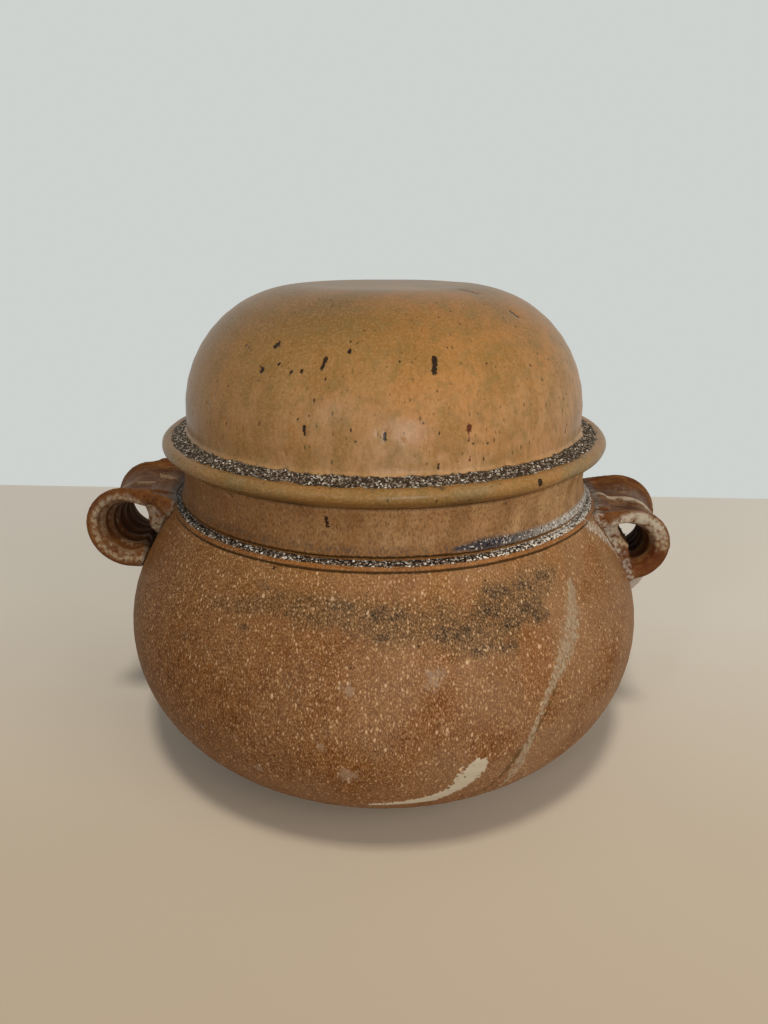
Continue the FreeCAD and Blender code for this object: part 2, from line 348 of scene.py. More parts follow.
SMEAR = [(64, 117, 1.6), (70, 112, 2.8), (75, 104, 2.2), (78, 95, 1.2)]
SOOT = [(-34, 99, 2), (-20, 104, 4), (-5, 104, 6), (6, 101, 7), (18, 98, 8), (28, 101, 9),
        (36, 105, 7), (43, 109, 3)]
# soft clouds: (turn, height, reach in mm)
PALE_PATCHES = [(-3, 45, 4.5), (-21, 40, 2.5), (-3, 80, 3), (12, 84, 5), (-33, 52, 2),
                (-24.5, 53, 1.8), (-8, 57, 2.4)]
SMUDGE_SPREAD = 2.2
SMUDGES = [(2.4, 104, 3.4), (-5, 106.3, 2.6), (5.2, 103, 2.6), (14.4, 96.7, 3.6),
           (19.2, 96.4, 3), (22, 90.5, 2.8), (27.6, 89.8, 3), (24.9, 102, 3.6), (34, 107.5, 3.2),
           (39.2, 109.4, 2.4), (27.6, 107.7, 3.4), (33.5, 100.3, 4), (36, 96.2, 3), (29, 97, 3),
           (-22.7, 108.7, 1.6), (-25.3, 94.6, 1.8), (-39.9, 85, 1.8), (3, 97, 2.4)]
# dashes from one place to another: (turn, height, turn, height, half width in mm)
IRON_ON_POT = [
    (-9.9, 135.2, -9.7, 131.8, 0.85), (-35.8, 138.6, -35.6, 137.6, 0.7),
    (-31.6, 134, -31.6, 133.6, 0.5), (-51.6, 118.2, -51.0, 116, 0.35),
    (-21.3, 115.8, -21.5, 115.3, 0.7), (-17.1, 99.8, -17.3, 99.3, 0.6),
    (-15.2, 82.6, -15.7, 79.4, 0.4), (4.7, 110, 4.8, 107.4, 0.3), (-66.1, 101.5, -66.4, 100, 0.5),
    (-53, 109.8, -53.4, 109, 0.4), (-12.2, 89.8, -12.2, 89.2, 0.4),
    (18.7, 112, 18.8, 111, 0.45), (29.9, 109.8, 29.9, 109.2, 0.4), (24.5, 116.2, 24.5, 115.6, 0.4),
    (27.6, 86.2, 27.6, 85.8, 0.4), (51.5, 58.6, 51.1, 55.8, 0.55), (1.1, 29.6, 1.9, 29.5, 0.5),
    (32.5, 138, 32.5, 137, 0.6), (-10, 60.4, -10.1, 60.2, 0.4), (-6.8, 72.3, -6.8, 72.1, 0.4)]
CRACK = [(58.6, 102.6, 59.5, 100.5, 0.22), (59.5, 100.5, 60.2, 95.7, 0.42),
         (60.2, 95.7, 60, 91.5, 0.2)]


def is_outside(point):
    return point.xy.length > NECK_BORE + 4 * MM


def trail_between(stops, low, high, outside=False):
    """A mask of a trail, kept between two heights and, if wanted, off the inner wall."""
    def amount(point):
        kept = low < point.z < high and (is_outside(point) or not outside)
        return trail(point, stops) if kept else 0.0
    return amount


pool = trail_between(POOL, NECK_FOOT, FAR, outside=True)
haze = trail_between(POOL_HAZE, NECK_FOOT, FAR)
run = trail_between(PALE_RUN, BELLY_HEIGHT / 3, SHOULDER[1])
run_edge = trail_between(RUN_EDGE, -FAR, 80 * MM)
slip = trail_between(CREAM_SLIP, -FAR, BELLY_HEIGHT)
smear = trail_between(SMEAR, 88 * MM, 119 * MM)
soot = trail_between(SOOT, 80 * MM, FAR, outside=True)


def ash_line(point):
    if not is_outside(point):
        return 0.0
    ragged = point.z + noise.noise(point * 500) * 0.16 * MM
    return band(ragged, *ASH_LINE, 0.2 * MM)


def crust(point):
    return max(ash_line(point), pool(point))


def pale_ash(point):
    """The ash turns from black to white towards the right-hand handle."""
    return band(turn_of(point), 52, 110, 30)


def shade(point):
    """Painted shade: the left and back, away from the light, made darker and browner."""
    return 1 - band(turn_of(point), 25, 100, 85)


def cloud_of(places, spread=1.0):
    """A mask of soft clouds at (turn, height, reach in mm), spread wider than high."""
    def amount(point):
        to_mm = math.radians(point.xy.length / MM) / spread
        far = min(math.hypot((turn_of(point) - turn) * to_mm, point.z / MM - height) / reach
                  for turn, height, reach in places)
        return math.exp(-far ** 2) if is_outside(point) else 0.0
    return amount


def frost(point):
    """How dense the pale speckle lies: most on the shoulder and towards the right."""
    high = band(point.z, 60 * MM, 130 * MM, 60 * MM)
    bare_neck = 1 - 0.7 * band(point.z, 119 * MM, FAR, 3 * MM)
    patchy = 0.3 * noise.noise(point * 22)
    dense = 0.15 + 0.5 * facing_ash(point) + 0.35 * high + patchy
    return bare_neck * max(0.0, min(1.0, dense))


def olive_lines(point):
    """Glaze that ran into the groove under the ring and the cove over it."""
    if not is_outside(point):
        return 0.0
    wander = point.z + noise.noise(point * 60) * 0.2 * MM
    return max(band(wander, 116.5 * MM, 117.1 * MM, 0.35 * MM),
               band(wander, 120.9 * MM, 121.5 * MM, 0.4 * MM))


smooth_pot = BVHTree.FromBMesh(pot)
iron_on_pot = near_dashes(smooth_pot, IRON_ON_POT)
crack = near_dashes(smooth_pot, CRACK)


RING_PITCH = 5.2 * MM
RING_DEPTH = 0.07 * MM
OUT_OF_ROUND = 0.22 * MM
ASH_GRAIN = 0.9 * MM
ASH_RISE = 0.4 * MM
RUN_RISE = 0.25 * MM
PIT_DEPTH = 0.3 * MM
FLAT_FOOT = 2 * MM


def pot_depth(point):
    depth = wheel_rings(point, RING_PITCH, RING_DEPTH) - RING_DEPTH
    depth += (noise.noise(point * 9) - 1) * OUT_OF_ROUND
    depth += (grains(point, ASH_GRAIN) - 0.6) * ASH_RISE * crust(point)
    depth += RUN_RISE * max(run(point), slip(point), smear(point))
    depth -= PIT_DEPTH * max(iron_on_pot(point), crack(point))
    return depth * band(point.z, FLAT_FOOT, FAR, FLAT_FOOT)


def is_marked(point):
    return is_outside(point) and max(crust(point), run(point), slip(point), smear(point),
                                     iron_on_pot(point), crack(point)) > 0


cut_finer(pot, is_marked)
press(pot, pot_depth)
paint(pot, {
    "ash": ash_line, "pool": pool, "pale_ash": pale_ash, "run": run, "run_edge": run_edge,
    "slip": slip, "smear": smear, "iron": iron_on_pot, "crack": crack, "haze": haze,
    "patches": cloud_of(PALE_PATCHES), "smudges": cloud_of(SMUDGES, SMUDGE_SPREAD),
    "frost": frost, "soot": soot, "shade": shade, "olive": olive_lines})
pot_piece = finished(pot, "thrown_pot", "pot")
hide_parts("pot_body")

# %% [markdown]
# ## The lid
#
# The lid is thrown upside down, as a bowl: a flange that drops into the neck, a brim
# that slopes down to a rolled edge, and a deep bowl that becomes the dome. Its flat top
# is the bowl's foot. The ash lies thickest in the corner where the dome meets the brim.

# %% Lid
lid_low, lid_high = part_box("lid")
BRIM_RADIUS = lid_high.x
CROWN = lid_high.z
FLANGE_RADIUS = 84 * MM
FLANGE_INSIDE = 79 * MM
FLANGE_ROUND = 1.8 * MM
BEAD_ROUND = 3.15 * MM
BEAD_RADIUS = BRIM_RADIUS - BEAD_ROUND
BEAD_HEIGHT = RIM_HEIGHT + 5.75 * MM
UNDERCUT = math.radians(35)
BRIM_SLOPE = math.radians(20)
DOME_RADIUS = 88.8 * MM
LEDGE = 151 * MM
LEDGE_ROUND = 1.5 * MM
DOME_CORNER = 53.2 * MM
LID_WALL = 6 * MM

template = Template(FLANGE_INSIDE, lid_low.z + FLANGE_ROUND)
template.arc(FLANGE_INSIDE + FLANGE_ROUND, lid_low.z, FLANGE_ROUND, 0.9 * MM)
template.line(FLANGE_RADIUS - FLANGE_ROUND, lid_low.z, 2 * MM)
template.arc(FLANGE_RADIUS, lid_low.z + FLANGE_ROUND, FLANGE_ROUND, 0.9 * MM)
template.line(FLANGE_RADIUS, RIM_HEIGHT, 3 * MM)
template.line(RIM_RADIUS, RIM_HEIGHT, 3 * MM)
template.line(BEAD_RADIUS + BEAD_ROUND * math.sin(UNDERCUT),
              BEAD_HEIGHT - BEAD_ROUND * math.cos(UNDERCUT), 0.8 * MM)
template.arc(BEAD_RADIUS - BEAD_ROUND * math.sin(BRIM_SLOPE),
             BEAD_HEIGHT + BEAD_ROUND * math.cos(BRIM_SLOPE), BEAD_ROUND, 0.7 * MM)
template.line(DOME_RADIUS + LEDGE_ROUND, LEDGE, 0.9 * MM)
template.arc(DOME_RADIUS, LEDGE + LEDGE_ROUND, LEDGE_ROUND, 0.6 * MM, turn=-1)
template.line(DOME_RADIUS, CROWN - DOME_CORNER, 1.6 * MM)
template.arc(DOME_RADIUS - DOME_CORNER, CROWN, DOME_CORNER, 1.7 * MM)
template.line(0, CROWN, 4 * MM)
# the inside starts again from the axis, under the crown
template.lift_to(0, CROWN - LID_WALL)
template.line(DOME_RADIUS - DOME_CORNER, CROWN - LID_WALL, 7 * MM)
template.arc(DOME_RADIUS - LID_WALL, CROWN - DOME_CORNER, DOME_CORNER - LID_WALL, 5 * MM,
             turn=-1)
template.line(DOME_RADIUS - LID_WALL, LEDGE, 3 * MM)
template.line(FLANGE_INSIDE, RIM_HEIGHT, 3 * MM)
template.line(FLANGE_INSIDE, lid_low.z + FLANGE_ROUND, 3 * MM)
lid = template.turned()

# %% [markdown]
# ## What the kiln left on the lid
#
# The ash on the ledge is a rough grey-black crust, 6 to 8 mm wide, with a ragged outer
# edge, and darker clinkers sit in it here and there. The dome above it stayed smooth.

# %% Marks on the lid
LEDGE_ASH = (89.8 * MM, 95.2 * MM)
CLINKERS = [(15, 150.6, 2.0), (-8, 151.4, 1.4), (-36, 150.8, 1.2), (57, 150.4, 1.4),
            (120, 150.5, 2.0), (-150, 150.6, 1.6)]
IRON_ON_LID = [
    (16.6, 190.6, 16, 186, 1.0), (-12, 190.5, -12.7, 187, 0.75), (-6, 193.2, -6, 192.6, 0.7),
    (-28, 194.2, -28.6, 193.2, 1.0), (-30, 185.8, -30, 184.6, 0.9), (-40, 192.6, -40, 192.2, 0.6),
    (-18, 186.3, -18, 185.6, 0.7), (-21, 185.6, -21, 185.2, 0.7), (-25, 188, -25.4, 187.2, 0.6),
    (-15.6, 167.6, -15.4, 164.6, 0.65), (-39.3, 165.5, -39.3, 163, 0.5),
    (-42.3, 157, -41.9, 154, 0.3), (-48.4, 171, -48.2, 168.6, 0.4), (-46.8, 174, -46.6, 172, 0.35),
    (3.5, 166.3, 3.5, 163.9, 0.6), (1.8, 166.8, 1.8, 165.6, 0.35),
    (-14.5, 171.7, -14.5, 171, 0.45), (-17.2, 170.4, -17.6, 169.2, 0.4),
    (-57.8, 163.2, -57.8, 162.4, 0.4),
    (-1.7, 157.8, -1.7, 156.6, 0.35), (57.8, 161, 58, 156.8, 0.5), (15.7, 159.6, 15.7, 157.8, 0.5),
    (59.8, 173, 59.8, 171.6, 0.4), (18.8, 172.8, 18.8, 172, 0.4), (16, 154.6, 16, 152.6, 0.5),
    (7.8, 163.7, 7.8, 163.1, 0.4), (20.7, 155.9, 20.7, 155.1, 0.4), (55, 203.6, 55.6, 201.4, 0.8),
    (51, 211, 53, 209.6, 0.8), (38.4, 147, 38.4, 145.2, 0.95), (-36, 150.5, -36, 150, 0.5),
    (131, 180, 131, 177, 0.8), (-160, 188, -160.5, 185, 0.9), (-115, 168, -115, 166, 0.6)]
RED_ON_LID = [(23.6, 167.4, 23.5, 166.2, 1.0), (23.5, 166, 23.3, 162.4, 0.5),
              (23.8, 157, 23.8, 154.6, 0.45), (-28, 167.1, -28, 166.5, 0.6),
              (-20.5, 157.2, -20.3, 156.6, 0.5), (150, 165, 150, 162, 0.6)]
clinkers = cloud_of(CLINKERS)


def on_top_of_lid(point):
    return point.xy.length > DOME_RADIUS - 2 * MM and point.z > BEAD_HEIGHT


def ledge_ash(point):
    if not on_top_of_lid(point) or point.z > LEDGE + LEDGE_ROUND:
        return 0.0
    ragged = point.xy.length + noise.noise(point * 180) * 0.9 * MM
    return band(ragged, *LEDGE_ASH, 0.5 * MM)


def lid_crust(point):
    return max(ledge_ash(point), clinkers(point) if on_top_of_lid(point) else 0.0)


smooth_lid = BVHTree.FromBMesh(lid)
iron_on_lid = near_dashes(smooth_lid, IRON_ON_LID)
red_on_lid = near_dashes(smooth_lid, RED_ON_LID)


LID_RING_PITCH = 7 * MM
LID_RING_DEPTH = 0.06 * MM
LID_OUT_OF_ROUND = 0.15 * MM
CLINKER_GRAIN = 1.0 * MM
CLINKER_RISE = 0.55 * MM
LID_PIT_DEPTH = 0.25 * MM


def lid_depth(point):
    depth = wheel_rings(point, LID_RING_PITCH, LID_RING_DEPTH) - LID_RING_DEPTH
    depth += (noise.noise(point * 8) - 1) * LID_OUT_OF_ROUND
    depth += (grains(point, CLINKER_GRAIN) - 0.8) * CLINKER_RISE * ledge_ash(point)
    depth -= LID_PIT_DEPTH * max(iron_on_lid(point), red_on_lid(point))
    return depth


def blotchy(point):
    """Where the grey-green blotches lie: low on the dome, and on its right side."""
    low = 1 - band(point.z, 190 * MM, FAR, 35 * MM)
    return 0.25 + 0.75 * max(facing_ash(point), 0.6 * low)


cut_finer(lid, lambda point: max(ledge_ash(point), iron_on_lid(point), red_on_lid(point)) > 0)
press(lid, lid_depth)
paint(lid, {"ash": lid_crust, "iron": iron_on_lid, "red": red_on_lid, "blotchy": blotchy,
            "shade": shade})
lid_piece = finished(lid, "domed_lid", "lid")
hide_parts("lid")

# %% [markdown]
# ## The strap handles
#
# Each handle is half of a thrown ring, laid on the shoulder while the clay was soft. Its
# solid has the right form but hard edges and a hairline gap at the joint. Here a copy
# of it is remeshed in even faces, as if it were one lump of soft clay, and smoothed.
# Then each point near the shoulder is pushed outwards along the shoulder, more the
# nearer it is: that draws the fillet of slip that a thumb leaves round a joint. Coils
# of clay were pressed along the shoulder inside the loops, and a lump was left under
# the right-hand joint. They go in before the remesh, which makes them one with the
# strap. Inside, the walls are left thicker than on the solid, and the rings of the wheel
# still show there. Last, two fingers press the outside into grooves.

# %% Handles
HANDLE_MESH = 0.7 * MM
DOUBLES = 0.001 * MM
FILLET = 3.2 * MM
JOINT_SINK = 1.1 * MM
SLIP_REACH = 6 * MM
LOOP_REACH = 18 * MM
LOOP_INSIDE = 14.5 * MM
LOOP_RING_PITCH = 6.4 * MM
LOOP_RING_DEPTH = 0.5 * MM
GROOVE_DEPTH = 1.5 * MM
CREST_WIDTH = 2.3 * MM
STRAP_HALF = 21 * MM
LUMP_HEIGHT = 79 * MM
BARE_HEIGHT = 98 * MM
# (x, z) of the axis of each loop, which runs from front to back
ring_centres = {"handle_left": (-118.8 * MM, 102.5 * MM),
                "handle_right": (113.6 * MM, 99.2 * MM)}
COIL = 4.2 * MM  # the radius of a coil
COIL_SIDES = 12
COIL_TURN = 22  # degrees round the pot
# (height, how far the coil stands out from the shoulder) in mm, from the top down
coils = {"handle_left": [(115, 8.5), (114, 12.5), (112, 7.4), (111.5, 10), (109, 7.2),
                         (106, 5.6), (103.5, 4.0)],
         "handle_right": [(112, 6.6), (110, 6.2), (107, 5.6), (104, 5.0), (101, 4.5), (98, 4.2),
                          (95, 4.0), (92, 3.8), (89, 3.6), (86, 3.4)]}
# (x, y, z, radius) in mm of lumps of clay left under a joint
lumps = {"handle_left": [],
         "handle_right": [(124, -4, 80, 4.8), (124, 4, 80, 4.8), (123.4, 0, 76.5, 4.6),
                          (122.4, 0, 73, 3.8), (121.4, 0, 70.2, 2.8)]}
# how far from the loop's axis the lip is pale, and how far below the axis the pale goes
pale_reach = {"handle_left": (16 * MM, 20 * MM), "handle_right": (15 * MM, -1 * MM)}
# how much thicker the wall is at the front edge, at the back edge, and towards a side,
# and the (x, z) of that side
thicker = {"handle_left": (1.3 * MM, 2.6 * MM, 2.0 * MM, (0.7, 0.7)),
           "handle_right": (2.2 * MM, 1.6 * MM, 0.9 * MM, (0.9, 0.4))}


def lay_coils(bm, ground, side, heights):
    """Lays a coil of clay along the shoulder at each height, right through the loop."""
    for height, stands_out in heights:
        first = 90 * side - COIL_TURN / 2
        foot, up, _, _ = ground.find_nearest(on_skin(ground, first, height))
        ring = bmesh.ops.create_circle(bm, segments=COIL_SIDES, radius=COIL)["verts"]
        bmesh.ops.rotate(bm, verts=ring, matrix=Matrix.Rotation(math.pi / 2, 3, "Y"))
        bmesh.ops.rotate(bm, verts=ring, matrix=Matrix.Rotation(math.radians(first), 3, "Z"))
        bmesh.ops.translate(bm, verts=ring, vec=foot + up * (stands_out * MM - COIL))
        edges = list({edge for vert in ring for edge in vert.link_edges})
        bmesh.ops.spin(bm, geom=ring + edges, cent=(0, 0, 0), axis=(0, 0, 1),
                       angle=math.radians(COIL_TURN), steps=12, dvec=(0, 0, 0))
    bmesh.ops.holes_fill(bm, edges=[edge for edge in bm.edges if edge.is_boundary])


def add_lumps(bm, places):
    for x, y, z, radius in places:
        bmesh.ops.create_icosphere(bm, subdivisions=3, radius=radius * MM,
                                   matrix=Matrix.Translation((x * MM, y * MM, z * MM)))


def even_clay(bm, face_size):
    """The same lump in even faces, through a Remesh modifier on an object of its own."""
    mesh = bpy.data.meshes.new("lump")
    bm.to_mesh(mesh)
    bm.free()
    lump = bpy.data.objects.new("lump", mesh)
    bpy.context.scene.collection.objects.link(lump)
    remesh = lump.modifiers.new("even faces", "REMESH")
    remesh.mode = "VOXEL"
    remesh.voxel_size = face_size
    evaluated = lump.evaluated_get(bpy.context.evaluated_depsgraph_get())
    even = bmesh.new()
    even.from_mesh(evaluated.to_mesh())
    evaluated.to_mesh_clear()
    bpy.data.objects.remove(lump)
    bpy.data.meshes.remove(mesh)
    return even


SOFT_ROUNDS = 5


def soften(bm, verts, rounds):
    for _ in range(rounds):
        bmesh.ops.smooth_vert(bm, verts=verts, factor=0.5,
                              use_axis_x=True, use_axis_y=True, use_axis_z=True)


def lute(bm, ground):
    """Draws the fillet of slip round the joint with the ground, and closes its gap."""
    bm.normal_update()
    moves = []
    for vert in bm.verts:
        foot, up, _, _ = ground.find_nearest(vert.co)
        height = (vert.co - foot).dot(up)
        if height > SLIP_REACH:
            continue
        along = vert.normal - up * vert.normal.dot(up)
        thumb = FILLET * (1 + 0.35 * noise.noise(vert.co * 90))
        if height < thumb:
            spread = thumb - math.sqrt(thumb ** 2 - (thumb - max(0, height)) ** 2)
            moves.append((vert, along * spread))
        moves.append((vert, up * -JOINT_SINK * min(1, 1 - height / SLIP_REACH) ** 2))
    move_all(moves)
    soften(bm, list({vert for vert, _ in moves}), SOFT_ROUNDS)


def handle_depth(point):
    return (noise.noise(point * 40) - 1) * 0.12 * MM + (noise.noise(point * 160) - 1) * 0.05 * MM


def from_axis(point, centre):
    """The way from the loop's axis straight out to a point."""
    return Vector((point.x - centre[0], 0, point.z - centre[1]))


def inner_wall(bm, centre):
    """The vertices inside the loop, each with its direction from the loop's axis and how
    squarely it faces that axis."""
    bm.normal_update()
    for vert in bm.verts:
        across = from_axis(vert.co, centre)
        inwards = -across.normalized().dot(vert.normal)
        if inwards > 0.15 and across.length < LOOP_REACH:
            yield vert, across.normalized(), inwards


def thicken(bm, centre, front, back, side, towards):
    """Brings the loop's inner wall in, as a potter leaves a handle thick for strength."""
    moves = []
    for vert, away, inwards in inner_wall(bm, centre):
        share = max(0.0, min(1.0, vert.co.y / (2 * STRAP_HALF) + 0.5))
        leaning = max(0.0, away.x * towards[0] + away.z * towards[1]) ** 2
        wanted = front + (back - front) * share + side * leaning
        moves.append((vert, away * -wanted * min(1, 2 * inwards)))
    move_all(moves)


def throwing_rings(bm, centre):
    """Rings round the inside of the loop, whose axis runs from front to back."""
    ring_layer = bm.verts.layers.float.new("ring")
    moves = []
    for vert, _, inwards in inner_wall(bm, centre):
        wander = noise.noise(vert.co * 45) * 2.6
        ring = math.sin(math.tau * vert.co.y / LOOP_RING_PITCH + wander)
        uneven = max(0.0, min(1.0, 0.55 + 1.6 * noise.noise(vert.co * 70)))
        vert[ring_layer] = max(0.0, ring) ** 2 * min(1.0, 1.5 * inwards) * uneven
        moves.append((vert, vert.normal * LOOP_RING_DEPTH * inwards * (ring - 1) / 2))
    move_all(moves)


def slip_at(point, ground):
    """The slip round the joint, thick at the shoulder and gone a few millimetres up."""
    height = ground.find_nearest(point)[3]
    return max(0.0, 1 - height / SLIP_REACH)


def inside_loop(point, centre):
    """1 on the inside of the loop and 0 on its outside, by the distance to its axis."""
    return 1 - band(from_axis(point, centre).length, LOOP_INSIDE, FAR, 2 * MM)


def deep(point):
    """0 at the two edges of the strap and 1 well inside the loop."""
    return band(abs(point.y), -FAR, STRAP_HALF - 15 * MM, 13 * MM)


def bare_side(point):
    """The side of a loop that faces forwards and down, which the ash didn't reach."""
    return band(point.z, -FAR, BARE_HEIGHT, 12 * MM)


def finger_grooves(bm, ground, centre):
    """Presses two fingers along the outside of the strap, which leaves a sharp crest
    between them, and paints masks for the grooves, which get painted shade, and for the
    crest, whose pale line is partly painted highlight."""
    groove = bm.verts.layers.float.new("groove")
    crest = bm.verts.layers.float.new("crest")
    bm.normal_update()
    moves = []
    for vert in bm.verts:
        away = from_axis(vert.co, centre).normalized()
        outwards = band(away.dot(vert.normal), 0.55, 2, 0.3)
        clear = min(1.0, max(0.0, ground.find_nearest(vert.co)[3] / SLIP_REACH))
        side = vert.co.y + noise.noise(vert.co * 30) * 1.2 * MM
        hollow = math.sin(math.pi * min(1.0, abs(side) / STRAP_HALF)) ** 0.8
        vert[groove] = hollow * outwards * clear
        vert[crest] = outwards * math.exp(-(side / CREST_WIDTH) ** 2)
        moves.append((vert, vert.normal * -GROOVE_DEPTH * vert[groove]))
    move_all(moves)


handle_pieces = {}
for node, name in {"handle_left": "left_strap", "handle_right": "right_strap"}.items():
    centre = ring_centres[node]
    clay = bmesh.new()
    clay.from_mesh(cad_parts[node].data)
    bmesh.ops.remove_doubles(clay, verts=clay.verts, dist=DOUBLES)
    lay_coils(clay, smooth_pot, 1 if centre[0] > 0 else -1, coils[node])
    add_lumps(clay, lumps[node])
    clay = even_clay(clay, HANDLE_MESH)
    soften(clay, clay.verts, SOFT_ROUNDS)
    thicken(clay, centre, *thicker[node])
    soften(clay, clay.verts, 3)
    lute(clay, smooth_pot)
    throwing_rings(clay, centre)
    finger_grooves(clay, smooth_pot, centre)
    lip = clay.verts.layers.float.new("lip")
    pale = clay.verts.layers.float.new("pale_lip")
    reach, drop = pale_reach[node]
    for vert in clay.verts:
        vert[lip] = abs(vert.normal.y)
        away = from_axis(vert.co, centre)
        near = band(away.length, 0, reach, 2.5 * MM)
        vert[pale] = vert[lip] * near * band(away.z, -drop, FAR, 8 * MM)
    paint(clay, {
        "joint": lambda point: slip_at(point, smooth_pot),
        "inside": lambda point: inside_loop(point, centre),
        "deep": deep, "bare": bare_side,
        "white": lambda point: 1.0 if point.x > 0 else 0.3,
        "foot": lambda point: 1 - band(point.z, LUMP_HEIGHT, FAR, 3 * MM)})
    press(clay, handle_depth)
    handle_pieces[node] = finished(clay, name, "pot")
    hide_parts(node)

# %% [markdown]
# ## Tools for glazing
#
# A glaze is painted here as a potter sees it: a ground colour, then thin layers over
# it, each with a mask that says where it lies. Masks are clouds (a Noise texture cut
# at a level), spots (the cells of a Voronoi texture) or what was painted on the
# vertices. Every size is a real one, given in millimetres, and a texture's scale is the
# number of features of that size in a metre. A socket's id_data is the tree it is in.
# Colours are sRGB hex values, turned to linear in one place.

# %% Glazing tools
GLAZE_IOR = 1.5  # a glaze is a thin coat of glass


def linear(hex_colour):
    """A colour written as sRGB hex, turned to the linear values that shaders take."""
    parts = [int(hex_colour[i:i + 2], 16) / 255 for i in (1, 3, 5)]
    parts = [p / 12.92 if p <= 0.04045 else ((p + 0.055) / 1.055) ** 2.4 for p in parts]
    return (*parts, 1.0)


def add(tree, kind, inputs=None, **settings):
    """Adds a node with its settings. An input is a value, or the socket it links from."""
    made = tree.nodes.new("ShaderNode" + kind)
    for setting, value in settings.items():
        setattr(made, setting, value)
    for socket, value in (inputs or {}).items():
        if isinstance(value, bpy.types.NodeSocket):
            tree.links.new(value, made.inputs[socket])
        else:
            made.inputs[socket].default_value = value
    return made


def clouds(where, size, above, soft, detail=3):
    """Cloudy patches with features of that size. They cover more where above is lower."""
    tree = where.id_data
    scale = 1 / (size * MM)
    cloud = add(tree, "TexNoise", {"Vector": where, "Scale": scale, "Detail": detail})
    cut = {"Value": cloud.outputs["Fac"], "From Min": above - soft, "From Max": above + soft}
    return add(tree, "MapRange", cut, interpolation_type="SMOOTHSTEP").outputs[0]


def spots(where, spacing, radius, kept=1.0, core=0.5):
    """Spots up to that radius, one in a cell. A share of the cells keeps its spot."""
    tree = where.id_data
    cells = add(tree, "TexVoronoi", {"Vector": where, "Scale": 1 / (spacing * MM)})
    cut = {"Value": cells.outputs["Distance"], "From Min": radius / spacing,
           "From Max": radius * core / spacing}
    disc = add(tree, "MapRange", cut, interpolation_type="SMOOTHSTEP")
    lot = add(tree, "SeparateColor", {0: cells.outputs["Color"]})
    chosen = add(tree, "Math", {0: lot.outputs[0], 1: kept}, operation="LESS_THAN")
    return add(tree, "Math", {0: disc.outputs[0], 1: chosen.outputs[0]},
               operation="MULTIPLY").outputs[0]


def painted(tree, *layer_names):
    """The masks that were painted on the vertices, by name."""
    return SimpleNamespace(**{
        name: add(tree, "Attribute", attribute_name=name).outputs["Fac"]
        for name in layer_names})


def broken(where, mask, size, amount, low=0.4, high=0.6):
    """A soft mask whose edge is broken up by noise of that size."""
    tree = where.id_data
    scale = 1 / (size * MM)
    cloud = add(tree, "TexNoise", {"Vector": where, "Scale": scale, "Detail": 3})
    shift = {"Value": cloud.outputs["Fac"], "From Min": 0.25, "From Max": 0.75,
             "To Min": -amount, "To Max": amount}
    shift = add(tree, "MapRange", shift)
    moved = add(tree, "Math", {0: mask, 1: shift.outputs[0]}, operation="ADD")
    cut = {"Value": moved.outputs[0], "From Min": low, "From Max": high}
    cut = add(tree, "MapRange", cut, interpolation_type="SMOOTHSTEP")
    # where there is no mask at all, the noise must not bring it back
    near = add(tree, "Math", {0: mask, 1: 5.0}, operation="MULTIPLY", use_clamp=True)
    return add(tree, "Math", {0: cut.outputs[0], 1: near.outputs[0]},
               operation="MULTIPLY").outputs[0]


def graded(value, stops):
    """Colours at values from low to high, blended evenly between them."""
    tree = value.id_data
    low, high = stops[0][0], stops[-1][0]
    share = add(tree, "MapRange", {"Value": value, "From Min": low, "From Max": high})
    ramp = add(tree, "ValToRGB", {0: share.outputs[0]})
    elements = ramp.color_ramp.elements
    for _ in stops[2:]:
        elements.new(0.5)
    for element, (at, colour) in zip(elements, stops):
        element.position = (at - low) / (high - low)
        element.color = linear(colour)
    return ramp.outputs["Color"]


def layered(tree, ground, layers):
    """Lays (colour, strength, mask, mask...) layers over the ground, from the bottom up."""
    for colour, cover, *masks in layers:
        if isinstance(colour, str):
            colour = linear(colour)
        for mask in masks:
            cover = add(tree, "Math", {0: mask, 1: cover}, operation="MULTIPLY").outputs[0]
        ground = add(tree, "Mix", {0: cover, 6: ground, 7: colour},
                     data_type="RGBA").outputs[2]
    return ground


def glaze(name, gloss, finish):
    """A glaze with that much gloss. finish(tree, where) adds its nodes and gives four
    things: its colour, a mask, the roughness where that mask is 0 and where it is 1, and
    its skin as (size of a bump, strength, height)."""
    material = bpy.data.materials.new(name)
    material.use_nodes = True
    tree = material.node_tree
    shader = tree.nodes["Principled BSDF"]
    shader.inputs["IOR"].default_value = GLAZE_IOR
    shader.inputs["Specular IOR Level"].default_value = gloss
    where = add(tree, "TexCoord").outputs["Object"]
    colour, mask, (rough_off, rough_on), (size, strength, height) = finish(tree, where)
    tree.links.new(colour, shader.inputs["Base Color"])
    rough = add(tree, "MapRange", {"Value": mask, "To Min": rough_off, "To Max": rough_on})
    tree.links.new(rough.outputs[0], shader.inputs["Roughness"])
    skin = add(tree, "TexNoise", {"Vector": where, "Scale": 1 / (size * MM), "Detail": 2})
    bump = add(tree, "Bump", {"Height": skin.outputs["Fac"], "Strength": strength,
                              "Distance": height * MM})
    tree.links.new(bump.outputs[0], shader.inputs["Normal"])
    print(name, "has", len(tree.nodes), "nodes")
    return material


# %% [markdown]
# ## The pot's glaze: ash on iron stoneware, fired with wood
#
# Iron in the clay turns the ground rust brown. Fly ash that fell on it melted to a pale
# speckle of dots under a millimetre wide, drawn out a little as they ran down. Smoke
# darkened the shoulder in smudges. A wood-fired surface is satin, not glossy, except
# where the ash pooled to glass in the corner of the neck.

# %% Pot glaze
GRAIN = 0.62
# (colour, strength, spacing, radius, share of the cells) of the melted dots
DOTS = [("#b49069", 0.75, 1.1, 0.4, 0.55), ("#bb9972", 0.8, 1.8, 0.5, 0.5),
        ("#c2a27d", 0.85, 3.2, 0.6, 0.4), ("#c6a783", 0.85, 7, 0.8, 0.4)]


